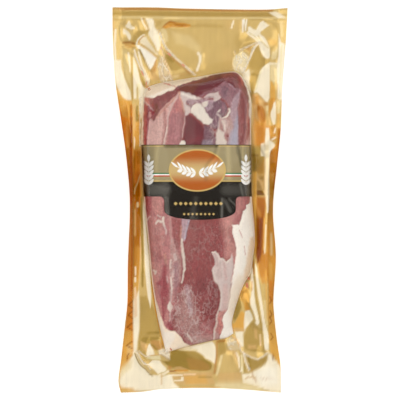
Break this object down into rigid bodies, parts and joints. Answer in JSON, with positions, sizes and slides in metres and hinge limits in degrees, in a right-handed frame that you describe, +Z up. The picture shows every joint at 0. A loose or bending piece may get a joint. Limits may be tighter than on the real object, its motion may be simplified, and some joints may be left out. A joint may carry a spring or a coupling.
{
  "type": "vacuum-packed goose breast",
  "caption": "Raw goose breast fillet sealed in a vacuum pack with a formed gold film below, a clear film drawn tight over the meat and a printed band across its middle.",
  "frame": {"origin": "on the floor under the middle of the pack's bounding box", "axes": "+X across the pack, +Y along it towards the thick end of the breast, +Z up through the meat side that shows"},
  "size_m": [0.1576, 0.3469, 0.0356],
  "materials": {
    "gold_foil": "metallised gold film, satin to glossy, softly creased",
    "raw_meat": "raw dark poultry meat with white seams, fascia and cream fat, moist",
    "printed_film": "printed olive-gold and black film, glossy",
    "clear_film": "clear glossy vacuum film, stretched tight and finely creased"
  },
  "bodies": {
    "root": {"gold_film": "gold_foil", "goose_breast": "raw_meat", "printed_band": "printed_film", "clear_film": "clear_film"}
  },
  "joints": []
}
